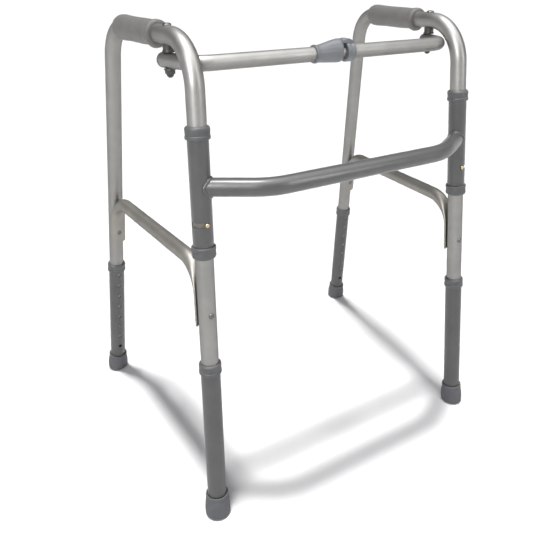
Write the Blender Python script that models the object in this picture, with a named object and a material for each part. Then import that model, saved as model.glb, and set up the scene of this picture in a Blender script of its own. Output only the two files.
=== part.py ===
"""A folding walking frame of aluminium tube, at rest with its sides open and its legs at mid height.

Two side frames, each an inverted U of tube, turn in sleeves on a bowed front brace and fold flat
behind it. A two-piece upper bar with a locking sleeve holds them open. Four telescopic legs carry
rubber tips. Metres, +Z up, the user stands at +Y, and the origin is on the floor at the middle of
the frame's box.
"""

import math

import bmesh
import bpy
from mathutils import Matrix, Vector

MM = 0.001

# Side frames: where each front leg's axis meets the floor, how it leans, and the top tube.
FRONT_FOOT_X = 250.7 * MM
FRONT_FOOT_Y = -218.0 * MM
FRONT_LEAN_IN = 0.0343
FRONT_LEAN_BACK = 0.0772
TOP_HEIGHT = 707.0 * MM
TOP_LENGTH = 280.3 * MM
TOP_TOE_OUT = 0.0776
REAR_LEAN = 0.1472
FRONT_BEND = 66.0 * MM
REAR_BEND = 58.0 * MM
TUBE_RADIUS = 12.7 * MM
TUBE_WALL = 1.3 * MM
TUBE_END = 80.0 * MM

# Sleeves, legs and the plastic collars at their ends.
SLEEVE_RADIUS = 14.2 * MM
SLEEVE_BORE = 13.0 * MM
SLEEVE_SPAN = (430.0 * MM, 599.0 * MM)
LOWER_SLEEVE_COLLAR = 425.0 * MM
UPPER_SLEEVE_COLLAR = 587.0 * MM
SLEEVE_COLLAR_RADIUS = 16.8 * MM
LEG_COLLAR = 247.5 * MM
LEG_COLLAR_RADIUS = 16.4 * MM
COLLAR_HEIGHT = 17.0 * MM
LEG_BOTTOM = 6.0 * MM
LEG_TOP = 259.0 * MM
HOLE_TOP = 242.0 * MM
HOLE_PITCH = 25.4 * MM
HOLE_COUNT = 8
HOLE_RADIUS = 3.4 * MM
BUTTON_HOLE = 5
TIP_RADIUS = 19.4 * MM
TIP_TOP = 36.7 * MM

# Snap buttons: studs on leaf springs inside the tubes.
STUD_RADIUS = 3.0 * MM
STUD_CLEARANCE = 0.35 * MM
LEG_STUD_REACH = 12.75 * MM
LOCK_STUD_REACH = 16.0 * MM
LOCK_HEIGHT = 474.0 * MM
SLOT_HALF_HEIGHT = 3.6 * MM
SLOT_START = math.radians(-14)
SLOT_END = math.radians(108)

# Side braces, riveted to the inner faces of the legs.
BRACE_HEIGHT = 408.0 * MM
BRACE_RADIUS = 11.0 * MM
BRACE_WALL = 1.4 * MM
BRACE_BEND = 46.0 * MM
BRACE_END = 320.0 * MM
BRACE_STANDOFF = 16.2 * MM
BAND_THICKNESS = 5.4 * MM
BAND_WIDTH = 30.0 * MM
RIVET_HEIGHT = 341.0 * MM
RIVET_RADIUS = 2.4 * MM

# Front brace.
BOW_HEIGHT = 521.5 * MM
BOW_FORWARD = 226.8 * MM
BOW_HALF_STRAIGHT = 153.0 * MM
BOW_BEND = 90.0 * MM

# Grips, measured along the top tube from the front corner.
GRIP_START = 101.0 * MM
GRIP_LENGTH = 135.0 * MM
GRIP_RADIUS = 17.8 * MM

# Upper bar and its pivots.
BOLT_SETBACK = 71.7 * MM
BOLT_RADIUS = 3.0 * MM
BAR_HEIGHT = 674.2 * MM
BAR_FORWARD = 143.0 * MM
BAR_RADIUS = 10.5 * MM
BAR_WALL = 1.5 * MM
BAR_HALF_STRAIGHT = 192.5 * MM
BAR_BEND = 30.0 * MM
BAR_TURN = math.radians(70)
BAR_TAIL = 38.0 * MM
HINGE_X = 12.0 * MM
LEFT_BAR_TIP = -36.0 * MM
RIGHT_BAR_TIP = 18.6 * MM
LOCK_SLEEVE_SPAN = (-37.0 * MM, 8.0 * MM)
KNUCKLE_SPAN = (16.5 * MM, 31.0 * MM)
BARREL_RADIUS = 7.0 * MM
HUMP_HEIGHT = 19.8 * MM

SIDES = 16
GAP = 0.3 * MM


def make_material(name, colour, roughness, metallic=0.0):
    material = bpy.data.materials.new(name)
    material.use_nodes = True
    shader = material.node_tree.nodes["Principled BSDF"]
    shader.inputs["Base Color"].default_value = (*colour, 1)
    shader.inputs["Roughness"].default_value = roughness
    shader.inputs["Metallic"].default_value = metallic
    return material


def clear_scene():
    for old in list(bpy.data.objects):
        bpy.data.objects.remove(old, do_unlink=True)


def add_object(name, mesh, material, parent=None, matrix=None):
    """Adds one solid. matrix is its place under its parent."""
    mesh.normal_update()
    bmesh.ops.recalc_face_normals(mesh, faces=mesh.faces)
    data = bpy.data.meshes.new(name)
    mesh.to_mesh(data)
    mesh.free()
    data.shade_smooth()
    data.set_sharp_from_angle(angle=math.radians(35))
    data.materials.append(material)
    thing = bpy.data.objects.new(name, data)
    bpy.context.scene.collection.objects.link(thing)
    thing.parent = parent
    if matrix is not None:
        thing.matrix_basis = matrix
    return thing


def add_axis(name, matrix, parent=None):
    """Adds an empty whose Z axis is a joint's axis or a leg's centre line."""
    empty = bpy.data.objects.new(name, None)
    bpy.context.scene.collection.objects.link(empty)
    empty.parent = parent
    empty.matrix_basis = parent.matrix_basis.inverted() @ matrix if parent else matrix
    return empty


def cut(target, cutter_mesh, parent, matrix=None):
    """Cuts a solid with a hidden cutter."""
    cutter = add_object(f"cutter_{target.name}", cutter_mesh, METAL, parent, matrix)
    cutter.hide_render = True
    cutter.display_type = "WIRE"
    modifier = target.modifiers.new("Cut", "BOOLEAN")
    modifier.operation = "DIFFERENCE"
    modifier.object = cutter


def skin(mesh, rings, loop=False):
    """Joins rings of points into a closed solid. A ring of one point is a pole."""
    made = [[mesh.verts.new(point) for point in ring] for ring in rings]
    pairs = list(zip(made, made[1:]))
    if loop:
        pairs.append((made[-1], made[0]))
    for low, high in pairs:
        count = max(len(low), len(high))
        for i in range(count):
            j = (i + 1) % count
            corners = [low[i % len(low)], low[j % len(low)], high[j % len(high)], high[i % len(high)]]
            mesh.faces.new(list(dict.fromkeys(corners)))
    if not loop:
        for end in (made[0], made[-1]):
            if len(end) > 1:
                mesh.faces.new(end)


def circle(radius, sides=SIDES):
    """A ring's points as pairs, with a flat to the front so that neighbouring tubes match."""
    steps = [2 * math.pi * (i + 0.5) / sides for i in range(sides)]
    return [(radius * math.cos(a), radius * math.sin(a)) for a in steps]


def turned(profile, sides=SIDES, loop=False):
    """A turned solid from (radius, height) pairs. With loop, the profile closes on itself round a bore."""
    mesh = bmesh.new()
    rings = []
    for radius, height in profile:
        if radius == 0:
            rings.append([Vector((0, 0, height))])
        else:
            rings.append([Vector((x, y, height)) for x, y in circle(radius, sides)])
    skin(mesh, rings, loop)
    return mesh


class Route:
    """A centre line through corners, with a round bend at each inner corner."""

    def __init__(self, corners, bends):
        corners = [Vector(corner) for corner in corners]
        self.pieces = []
        here = corners[0]
        for before, corner, after, radius in zip(corners, corners[1:], corners[2:], bends):
            come, go = (corner - before).normalized(), (after - corner).normalized()
            turn = come.angle(go)
            reach = radius * math.tan(turn / 2)
            start = corner - come * reach
            self.pieces.append(("line", here, come, (start - here).length))
            self.pieces.append(("arc", start, come, radius * turn, radius, come.cross(go).normalized()))
            here = corner + go * reach
        last = corners[-1] - here
        self.pieces.append(("line", here, last.normalized(), last.length))
        self.marks = [0.0]
        for piece in self.pieces:
            self.marks.append(self.marks[-1] + piece[3])
        self.length = self.marks[-1]

    def at(self, s):
        """The point and the direction at distance s."""
        index = 0
        while index < len(self.pieces) - 1 and s > self.marks[index + 1]:
            index += 1
        kind, start, direction, _, *bend = self.pieces[index]
        along = s - self.marks[index]
        if kind == "line":
            return start + direction * along, direction
        radius, axis = bend
        inward = axis.cross(direction)
        angle = along / radius
        point = start + direction * (radius * math.sin(angle)) + inward * (radius * (1 - math.cos(angle)))
        return point, (direction * math.cos(angle) + inward * math.sin(angle)).normalized()

    def stations(self, start, end, step):
        """Distances from start to end: every piece's ends, and steps of about the given angle in bends."""
        found = {start, end}
        for piece, low, high in zip(self.pieces, self.marks, self.marks[1:]):
            found |= {s for s in (low, high) if start < s < end}
            if piece[0] == "arc":
                count = max(2, round((high - low) / piece[4] / step))
                arc = (low + (high - low) * i / count for i in range(count))
                found |= {s for s in arc if start < s < end}
        merged = []
        for s in sorted(found):
            if not merged or s - merged[-1] > 0.5 * MM:
                merged.append(s)
        merged[-1] = end
        return merged


def ring_on(route, s, flat, outline):
    """An outline's points round a flat route: first value along the plane's normal, second in the plane."""
    point, direction = route.at(s)
    across = flat.cross(direction).normalized()
    return [point + flat * a + across * b for a, b in outline]


def tube(route, start, end, flat, outer, inner, sides=SIDES, step=math.radians(14)):
    """An open tube along a flat route."""
    mesh = bmesh.new()
    stations = route.stations(start, end, step)
    outside = [ring_on(route, s, flat, circle(outer, sides)) for s in stations]
    inside = [ring_on(route, s, flat, circle(inner, sides)) for s in reversed(stations)]
    skin(mesh, outside + inside, loop=True)
    return mesh


def pegs(centres, direction, radius, length, sides=8):
    """Straight pegs along one direction, as cutters for holes. Each starts at its centre."""
    mesh = bmesh.new()
    turn = Vector((0, 0, 1)).rotation_difference(Vector(direction)).to_matrix()
    for centre in centres:
        rings = [
            [Vector(centre) + turn @ Vector((x, y, height)) for x, y in circle(radius, sides)]
            for height in (0, length)
        ]
        skin(mesh, rings)
    return mesh


# --- the frame's lines ---------------------------------------------------------------------------


def side_lines(side):
    """One side frame's corner points: front foot, front corner, rear corner, rear foot."""
    lean = Vector((-side * FRONT_LEAN_IN, FRONT_LEAN_BACK, 1))
    back = Vector((side * TOP_TOE_OUT, 1, 0)).normalized()
    across = lean.cross(back)
    down = Vector(((across.z - across.y * REAR_LEAN) / across.x, REAR_LEAN, -1))
    front_foot = Vector((side * FRONT_FOOT_X, FRONT_FOOT_Y, 0))
    front_corner = front_foot + lean * TOP_HEIGHT
    rear_corner = front_corner + back * TOP_LENGTH
    return front_foot, front_corner, rear_corner, rear_corner + down * TOP_HEIGHT


def leg_matrix(foot, up, back):
    """A leg's frame: Z up its centre line, Y to the rear in the side frame's plane."""
    z = up.normalized()
    x = back.cross(z).normalized()
    y = z.cross(x)
    return Matrix.Translation(foot) @ Matrix((x, y, z)).transposed().to_4x4()


# --- pieces ----------------------------------------------------------------------------------------


def sleeve_collar(name, bottom, opens_down, parent):
    """A bush on a sleeve's end: a skirt over the sleeve and a lip that runs on the silver tube."""
    skirt = SLEEVE_RADIUS + GAP
    profile = [
        (skirt, 0), (SLEEVE_COLLAR_RADIUS - 1 * MM, 0), (SLEEVE_COLLAR_RADIUS, 1.2 * MM),
        (SLEEVE_COLLAR_RADIUS, COLLAR_HEIGHT - 2.2 * MM), (SLEEVE_COLLAR_RADIUS - 1.6 * MM, COLLAR_HEIGHT),
        (SLEEVE_BORE, COLLAR_HEIGHT), (SLEEVE_BORE, COLLAR_HEIGHT - 4 * MM), (skirt, COLLAR_HEIGHT - 4 * MM),
    ]
    place = Matrix.Translation((0, 0, bottom))
    if not opens_down:
        place = Matrix.Translation((0, 0, bottom + COLLAR_HEIGHT)) @ Matrix.Rotation(math.pi, 4, "X")
    add_object(name, turned(profile, loop=True), PLASTIC, parent, place)


def leg_collar(name, parent):
    skirt = SLEEVE_RADIUS + GAP
    profile = [
        (skirt, 0), (LEG_COLLAR_RADIUS - 0.8 * MM, 0), (LEG_COLLAR_RADIUS, 1.2 * MM),
        (LEG_COLLAR_RADIUS, COLLAR_HEIGHT - 3 * MM), (LEG_COLLAR_RADIUS - 1.8 * MM, COLLAR_HEIGHT),
        (SLEEVE_BORE, COLLAR_HEIGHT), (SLEEVE_BORE, COLLAR_HEIGHT - 4 * MM), (skirt, COLLAR_HEIGHT - 4 * MM),
    ]
    add_object(name, turned(profile, loop=True), PLASTIC, parent, Matrix.Translation((0, 0, LEG_COLLAR)))


def rubber_tip(name, parent, axis_matrix):
    """A bell-shaped tip. Its rings turn from square to the leg at the top to level at the sole."""
    bore = SLEEVE_RADIUS + GAP
    floor = LEG_BOTTOM - GAP
    profile = [
        (TIP_RADIUS - 3.4 * MM, 0), (TIP_RADIUS - 1.0 * MM, 2.4 * MM), (TIP_RADIUS, 8 * MM),
        (TIP_RADIUS - 0.4 * MM, 17 * MM), (TIP_RADIUS - 2.6 * MM, 30 * MM), (TIP_RADIUS - 3.1 * MM, TIP_TOP),
        (bore, TIP_TOP), (bore, floor),
    ]
    axis_up = axis_matrix.to_3x3() @ Vector((0, 0, 1))
    start = axis_matrix.translation
    to_local = axis_matrix.inverted()
    mesh = bmesh.new()
    rings = []
    for radius, height in profile:
        share = 1.0 if radius == bore else min(1.0, height / (12 * MM))
        up = Vector((0, 0, 1)).lerp(axis_up, share).normalized()
        turn = Vector((0, 0, 1)).rotation_difference(up).to_matrix()
        centre = start + axis_up * (height / axis_up.z)
        rings.append([to_local @ (centre + turn @ Vector((x, y, 0))) for x, y in circle(radius)])
    skin(mesh, rings)
    add_object(name, mesh, RUBBER, parent)


def snap_button(name, parent, height, facing, reach):
    """A stud with the leaf spring that carries it. facing is -1 to the front and +1 to the rear."""
    leaf_width, leaf_thickness, leaf_length = 8 * MM, 1.0 * MM, 34 * MM
    root = 6.0 * MM
    mesh = bmesh.new()
    radii = [
        (STUD_RADIUS, root), (STUD_RADIUS, reach - 0.9 * MM), (STUD_RADIUS - 0.8 * MM, reach - 0.2 * MM),
        (0, reach),
    ]
    rings = []
    for radius, out in radii:
        points = circle(radius, 10) if radius else [(0, 0)]
        rings.append([Vector((x, facing * out, z)) for x, z in points])
    skin(mesh, rings)
    stud = add_object(name, mesh, METAL, parent, Matrix.Translation((0, 0, height)))
    leaf = bmesh.new()
    outline = [(-leaf_width / 2, -leaf_thickness), (leaf_width / 2, -leaf_thickness),
               (leaf_width / 2, leaf_thickness * 0.4), (-leaf_width / 2, leaf_thickness * 0.4)]
    bends = [(root, 6 * MM), (root - 0.2 * MM, -6 * MM), (root - 8 * MM, -leaf_length)]
    skin(leaf, [[Vector((x, facing * (out + y), z)) for x, y in outline] for out, z in bends])
    spring = add_object(f"join_{name}", leaf, METAL, parent, Matrix.Translation((0, 0, height)))
    spring.hide_render = True
    spring.display_type = "WIRE"
    join = stud.modifiers.new("Join", "BOOLEAN")
    join.operation = "UNION"
    join.object = spring


def build_leg(prefix, axis, facing):
    """One telescopic leg: tube with holes, collar, rubber tip and the snap button that sets its height."""
    matrix = axis.matrix_basis if not axis.parent else axis.parent.matrix_basis @ axis.matrix_basis
    profile = [
        (SLEEVE_RADIUS, LEG_BOTTOM), (SLEEVE_RADIUS, LEG_TOP), (SLEEVE_BORE, LEG_TOP),
        (SLEEVE_BORE, LEG_BOTTOM),
    ]
    leg = add_object(f"{prefix}_leg_tube", turned(profile, loop=True), LEG_GREY, axis)
    heights = [HOLE_TOP - i * HOLE_PITCH for i in range(HOLE_COUNT)]
    holes = pegs([(0, facing * 10 * MM, z) for z in heights], (0, facing, 0), HOLE_RADIUS, 8 * MM)
    cut(leg, holes, axis)
    leg_collar(f"{prefix}_leg_collar", axis)
    rubber_tip(f"{prefix}_rubber_tip", axis, matrix)
    snap_button(f"{prefix}_snap_button", axis, heights[BUTTON_HOLE], facing, LEG_STUD_REACH)


def band_outline(share, sides):
    """A side brace's outline: round where share is 0, and at 1 a flat band that wraps the leg."""
    points = []
    for x, y in circle(1.0, sides):
        across = BAND_WIDTH / 2 * x
        out = BAND_THICKNESS / 2 * math.copysign(abs(y) ** 0.6, y)
        bend = across / BRACE_STANDOFF
        reach = BRACE_STANDOFF + out
        band = Vector((reach * math.sin(bend), reach * math.cos(bend) - BRACE_STANDOFF))
        points.append(Vector((BRACE_RADIUS * x, BRACE_RADIUS * y)).lerp(band, share))
    return points


def shrink(outline, wall):
    """The outline moved inward by a wall's thickness."""
    moved = []
    count = len(outline)
    for i, point in enumerate(outline):
        along = (outline[(i + 1) % count] - outline[i - 1]).normalized()
        moved.append(point + Vector((-along.y, along.x)) * wall)
    return moved


def side_brace(name, parent, front_axis, rear_axis):
    """The brace between the legs: a level tube whose ends turn down and are pressed flat against them."""
    sides = 14
    lines = []
    for axis, inner in ((rear_axis, -1), (front_axis, 1)):
        up = axis @ Vector((0, inner * BRACE_STANDOFF, BRACE_END))
        over = axis @ Vector((0, inner * BRACE_STANDOFF, BRACE_HEIGHT))
        lines.append((up, over))
    route = Route([lines[1][0], lines[1][1], lines[0][1], lines[0][0]], [BRACE_BEND, BRACE_BEND])
    flat = Vector((1, 0, 0))
    mesh = bmesh.new()
    outside, inside = [], []
    first, last = route.marks[1], route.marks[2]
    for s in route.stations(0, route.length, math.radians(15)):
        from_end = min(s, route.length - s)
        share = 1 - min(1.0, max(0.0, (from_end - first) / ((last - first) * 0.72)))
        share = share * share * (3 - 2 * share)
        outline = band_outline(share, sides)
        hollow = shrink(outline, -BRACE_WALL if outline_turns_right(outline) else BRACE_WALL)
        # At both ends the legs lie on the outer side of the route, so the band curves that way.
        outside.append(ring_on(route, s, flat, [(x, -y) for x, y in outline]))
        inside.append(ring_on(route, s, flat, [(x, -y) for x, y in hollow]))
    skin(mesh, outside + inside[::-1], loop=True)
    return add_object(name, mesh, SILVER, parent)


def outline_turns_right(outline):
    return sum(a.cross(b) for a, b in zip(outline, outline[1:] + outline[:1])) < 0


def rivet(name, parent, facing, matrix):
    """A rivet through a leg and the brace's band. Its dome is on the leg's outer face."""
    head = [(0, 2.2 * MM), (2.6 * MM, 1.7 * MM), (4.2 * MM, 0), (RIVET_RADIUS, 0)]
    reach = TUBE_RADIUS + GAP
    through = 2 * reach + BAND_THICKNESS + 2 * GAP
    tail = [
        (RIVET_RADIUS, -through), (4.0 * MM, -through), (3.2 * MM, -through - 1.4 * MM),
        (0, -through - 1.6 * MM),
    ]
    turn = Matrix.Rotation(facing * math.pi / 2, 4, "X")
    place = matrix @ Matrix.Translation((0, -facing * reach, RIVET_HEIGHT)) @ turn
    add_object(name, turned(head + tail, 10), METAL, parent, place)


def build_side(side, prefix):
    """One side frame with its legs, grip, brace and bar pivot. side is -1 for left and +1 for right."""
    front_foot, front_corner, rear_corner, rear_foot = side_lines(side)
    back = rear_corner - front_corner
    front = leg_matrix(front_foot, front_corner - front_foot, back)
    rear = leg_matrix(rear_foot, rear_corner - rear_foot, back)
    frame = add_axis(f"{prefix}_side_axis", front)
    to_local = front.inverted()
    rear_local = to_local @ rear

    corners = [to_local @ corner for corner in (front_foot, front_corner, rear_corner, rear_foot)]
    up, down = (corners[1] - corners[0]).normalized(), (corners[3] - corners[2]).normalized()
    corners[0] = up * TUBE_END
    corners[3] = corners[3] - down * TUBE_END
    route = Route(corners, [FRONT_BEND, REAR_BEND])
    flat = Vector((1, 0, 0))
    bore = TUBE_RADIUS - TUBE_WALL
    body = tube(route, 0, route.length, flat, TUBE_RADIUS, bore)
    frame_tube = add_object(f"{prefix}_frame_tube", body, SILVER, frame)

    stud_hole = STUD_RADIUS + STUD_CLEARANCE
    button_height = HOLE_TOP - BUTTON_HOLE * HOLE_PITCH
    cut(frame_tube, pegs([(0, 9 * MM, button_height)], (0, 1, 0), stud_hole, 8 * MM), frame)
    cut(frame_tube, pegs([(0, -9 * MM, button_height)], (0, -1, 0), stud_hole, 8 * MM), frame, rear_local)
    cut(frame_tube, pegs([(0, -9 * MM, LOCK_HEIGHT)], (0, -1, 0), stud_hole, 8 * MM), frame)
    rivet_hole = RIVET_RADIUS + GAP
    for place in (Matrix.Identity(4), rear_local):
        cut(frame_tube, pegs([(0, -20 * MM, RIVET_HEIGHT)], (0, 1, 0), rivet_hole, 40 * MM), frame, place)

    turn = (corners[1] - corners[0]).angle(corners[2] - corners[1])
    top_start = route.marks[2] - FRONT_BEND * math.tan(turn / 2)

    bolt_point, _ = route.at(top_start + BOLT_SETBACK)
    bolt_matrix = Matrix.Translation(front @ bolt_point)
    bolt_local = to_local @ bolt_matrix
    bolt_hole = pegs([(0, 0, -20 * MM)], (0, 0, 1), BOLT_RADIUS + GAP, 40 * MM, 12)
    cut(frame_tube, bolt_hole, frame, bolt_local)

    grip(f"{prefix}_grip", frame, route, top_start + GRIP_START, flat)
    brace = side_brace(f"{prefix}_side_brace", frame, Matrix.Identity(4), rear_local)
    for place, inner in ((Matrix.Identity(4), 1), (rear_local, -1)):
        start = (0, inner * 10 * MM, RIVET_HEIGHT)
        cut(brace, pegs([start], (0, inner, 0), rivet_hole, 16 * MM), frame, place)
    rivet(f"{prefix}_front_brace_rivet", frame, 1, Matrix.Identity(4))
    rivet(f"{prefix}_rear_brace_rivet", frame, -1, rear_local)
    snap_button(f"{prefix}_lock_button", frame, LOCK_HEIGHT, -1, LOCK_STUD_REACH)

    pivot = add_axis(f"{prefix}_bar_axis", bolt_matrix, frame)
    bar_pivot_hardware(prefix, frame, bolt_local, back.normalized())

    front_leg = add_axis(f"{prefix}_front_leg_axis", front, frame)
    rear_leg = add_axis(f"{prefix}_rear_leg_axis", rear, frame)
    build_leg(f"{prefix}_front", front_leg, 1)
    build_leg(f"{prefix}_rear", rear_leg, -1)
    return frame, pivot


def grip(name, parent, route, start, flat):
    """A hand grip with a raised lip at the front and a fuller heel at the rear."""
    shape = [
        (0, 15.0 * MM), (1.5 * MM, 18.6 * MM), (5 * MM, 18.8 * MM), (9 * MM, GRIP_RADIUS - 0.5 * MM),
        (40 * MM, GRIP_RADIUS), (95 * MM, GRIP_RADIUS), (120 * MM, GRIP_RADIUS + 0.8 * MM),
        (130 * MM, GRIP_RADIUS + 0.4 * MM), (GRIP_LENGTH - 2 * MM, GRIP_RADIUS - 2 * MM),
        (GRIP_LENGTH, 14.5 * MM),
    ]
    mesh = bmesh.new()
    outside = [ring_on(route, start + s, flat, circle(radius)) for s, radius in shape]
    bore = TUBE_RADIUS + 2 * GAP
    inside = [ring_on(route, start + s, flat, circle(bore)) for s, _ in reversed(shape)]
    skin(mesh, outside + inside, loop=True)
    add_object(name, mesh, PLASTIC, parent)


def bar_pivot_hardware(prefix, parent, place, along):
    """Bolt, spacer, washer and dome nut that carry the upper bar's end under the top tube."""
    drop = TOP_HEIGHT - BAR_HEIGHT
    hole = BOLT_RADIUS + GAP
    top = TUBE_RADIUS + 2 * GAP
    bar_top, bar_bottom = BAR_RADIUS - drop + 1.2 * MM, -BAR_RADIUS - drop - 1.2 * MM
    nut_top = bar_bottom - 2 * MM - GAP
    bolt = [
        (0, top + 3.4 * MM), (3.0 * MM, top + 3.0 * MM), (5.6 * MM, top + 1 * MM), (5.8 * MM, top),
        (BOLT_RADIUS, top), (BOLT_RADIUS, nut_top - 5 * MM), (0, nut_top - 5 * MM),
    ]
    add_object(f"{prefix}_pivot_bolt", turned(bolt, 12), METAL, parent, place)
    under = 4 * MM - TUBE_RADIUS
    spacer = [(hole, bar_top), (8 * MM, bar_top), (8.4 * MM, under), (hole, under)]
    made = add_object(f"{prefix}_pivot_spacer", turned(spacer, 12, loop=True), DARK, parent, place)
    cut(made, pegs([-along * 30 * MM], along, (TUBE_RADIUS + GAP) * 1.02, 60 * MM, SIDES), parent, place)
    washer = [(radius, bar_bottom - low) for radius, low in
              ((hole, 0), (8 * MM, 0), (8 * MM, 2 * MM), (hole, 2 * MM))]
    add_object(f"{prefix}_pivot_washer", turned(washer, 12, loop=True), METAL, parent, place)
    nut = [
        (hole, nut_top), (6.3 * MM, nut_top), (6.3 * MM, nut_top - 4.5 * MM), (4.6 * MM, nut_top - 8 * MM),
        (2.2 * MM, nut_top - 9.3 * MM), (0, nut_top - 9.6 * MM), (0, nut_top - 5.6 * MM),
        (hole, nut_top - 5.6 * MM),
    ]
    add_object(f"{prefix}_pivot_nut", dome_nut(nut), METAL, parent, place)


def dome_nut(profile):
    """A closed nut: the outer skin down to its pole, and the blind bore back up."""
    mesh = bmesh.new()
    rings = []
    for radius, height in profile:
        points = circle(radius, 12) if radius else [(0, 0)]
        rings.append([Vector((x, y, height)) for x, y in points])
    bore_first = rings[7:] + rings[:6]
    made = [[mesh.verts.new(point) for point in ring] for ring in bore_first]
    for low, high in zip(made, made[1:]):
        count = max(len(low), len(high))
        for i in range(count):
            j = (i + 1) % count
            corners = [low[i % len(low)], low[j % len(low)], high[j % len(high)], high[i % len(high)]]
            mesh.faces.new(list(dict.fromkeys(corners)))
    mesh.faces.new(made[0])
    return mesh


def build_brace(axes):
    """The bowed front brace with a sleeve round each front leg."""
    ends = []
    for side, prefix in ((-1, "left"), (1, "right")):
        parent = axes[prefix]
        profile = [(SLEEVE_RADIUS, SLEEVE_SPAN[0]), (SLEEVE_RADIUS, SLEEVE_SPAN[1]),
                   (SLEEVE_BORE, SLEEVE_SPAN[1]), (SLEEVE_BORE, SLEEVE_SPAN[0])]
        sleeve = add_object(f"{prefix}_sleeve", turned(profile, loop=True), BRACE_GREY, parent)
        cut(sleeve, slot_cutter(side), parent)
        sleeve_collar(f"{prefix}_lower_sleeve_collar", LOWER_SLEEVE_COLLAR, False, parent)
        sleeve_collar(f"{prefix}_upper_sleeve_collar", UPPER_SLEEVE_COLLAR, True, parent)
        front_foot, front_corner, _, _ = side_lines(side)
        ends.append(front_foot.lerp(front_corner, BOW_HEIGHT / TOP_HEIGHT))
    bends = [Vector((side * BOW_HALF_STRAIGHT, -BOW_FORWARD, BOW_HEIGHT)) for side in (-1, 1)]
    route = Route([ends[0], bends[0], bends[1], ends[1]], [BOW_BEND, BOW_BEND])
    start = SLEEVE_RADIUS - 3 * MM
    body = tube(route, start, route.length - start, Vector((0, 0, 1)), TUBE_RADIUS, TUBE_RADIUS - TUBE_WALL,
                step=math.radians(8))
    brace = add_object("front_brace_tube", body, BRACE_GREY)
    for side, prefix in ((-1, "left"), (1, "right")):
        saddle = pegs([(0, 0, BOW_HEIGHT - 40 * MM)], (0, 0, 1), SLEEVE_RADIUS + 2 * GAP, 80 * MM, SIDES)
        cut(brace, saddle, axes[prefix])


def slot_cutter(side):
    """The sector that a sleeve's slot takes out, from its front round to its outer side."""
    mesh = bmesh.new()
    count = 8
    rings = []
    for i in range(count + 1):
        angle = SLOT_START + (SLOT_END - SLOT_START) * i / count
        out = Vector((side * math.sin(angle), -math.cos(angle), 0))
        rings.append([
            out * (SLEEVE_BORE - 2 * MM) + Vector((0, 0, LOCK_HEIGHT - SLOT_HALF_HEIGHT)),
            out * (SLEEVE_RADIUS + 3 * MM) + Vector((0, 0, LOCK_HEIGHT - SLOT_HALF_HEIGHT)),
            out * (SLEEVE_RADIUS + 3 * MM) + Vector((0, 0, LOCK_HEIGHT + SLOT_HALF_HEIGHT)),
            out * (SLEEVE_BORE - 2 * MM) + Vector((0, 0, LOCK_HEIGHT + SLOT_HALF_HEIGHT)),
        ])
    skin(mesh, rings)
    return mesh


def bar_route(side, tip):
    """Half of the upper bar: straight from its tip, then a bend to the rear and a short arm past the bolt."""
    start = Vector((tip, -BAR_FORWARD, BAR_HEIGHT))
    reach = BAR_BEND * math.tan(BAR_TURN / 2)
    corner = Vector((side * (BAR_HALF_STRAIGHT + reach), -BAR_FORWARD, BAR_HEIGHT))
    arm = Vector((side * math.cos(BAR_TURN), math.sin(BAR_TURN), 0))
    return Route([start, corner, corner + arm * (reach + BAR_TAIL + 6 * MM)], [BAR_BEND])


def build_bar(axes, pivots):
    """Both halves of the upper bar with their end caps, the centre hinge and its locking sleeve."""
    up = Vector((0, 0, 1))
    bore = BAR_RADIUS - BAR_WALL
    for side, prefix, tip in ((-1, "left", LEFT_BAR_TIP), (1, "right", RIGHT_BAR_TIP)):
        route = bar_route(side, tip)
        place = world_under(pivots[prefix], axes[prefix])
        half = add_object(f"{prefix}_bar_tube", tube(route, 0, route.length, up, BAR_RADIUS, bore), SILVER,
                          pivots[prefix], place)
        cut(half, pegs([(0, 0, -60 * MM)], (0, 0, 1), BOLT_RADIUS + 3 * GAP, 60 * MM, 12), pivots[prefix])
        end, along = route.at(route.length)
        turn = up.rotation_difference(along).to_matrix().to_4x4()
        cap = [(8.2 * MM, -5 * MM), (bore - GAP, -4 * MM), (bore - GAP, GAP), (BAR_RADIUS, GAP),
               (BAR_RADIUS - 0.4 * MM, 3 * MM), (7.4 * MM, 5.6 * MM), (3 * MM, 6.8 * MM), (0, 7 * MM)]
        add_object(f"{prefix}_bar_cap", turned(cap, 12), PLASTIC, pivots[prefix],
                   place @ Matrix.Translation(end) @ turn)

    left = world_under(pivots["left"], axes["left"])
    right = world_under(pivots["right"], axes["right"])
    centre = Matrix.Translation((0, -BAR_FORWARD, BAR_HEIGHT))
    to_x = Matrix.Rotation(math.pi / 2, 4, "Y")
    slide = BAR_RADIUS + GAP
    low, high = LOCK_SLEEVE_SPAN
    sleeve = [
        (slide, low), (13.0 * MM, low), (13.8 * MM, low + 3 * MM), (12.8 * MM, low + 9 * MM),
        (13.6 * MM, low + 30 * MM),
        (14.4 * MM, high - 2 * MM), (13.8 * MM, high), (slide, high),
    ]
    add_object("lock_sleeve", turned(sleeve, loop=True), PLASTIC, pivots["left"], left @ centre @ to_x)
    build_hinge(pivots["right"], right @ centre, to_x)


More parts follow.
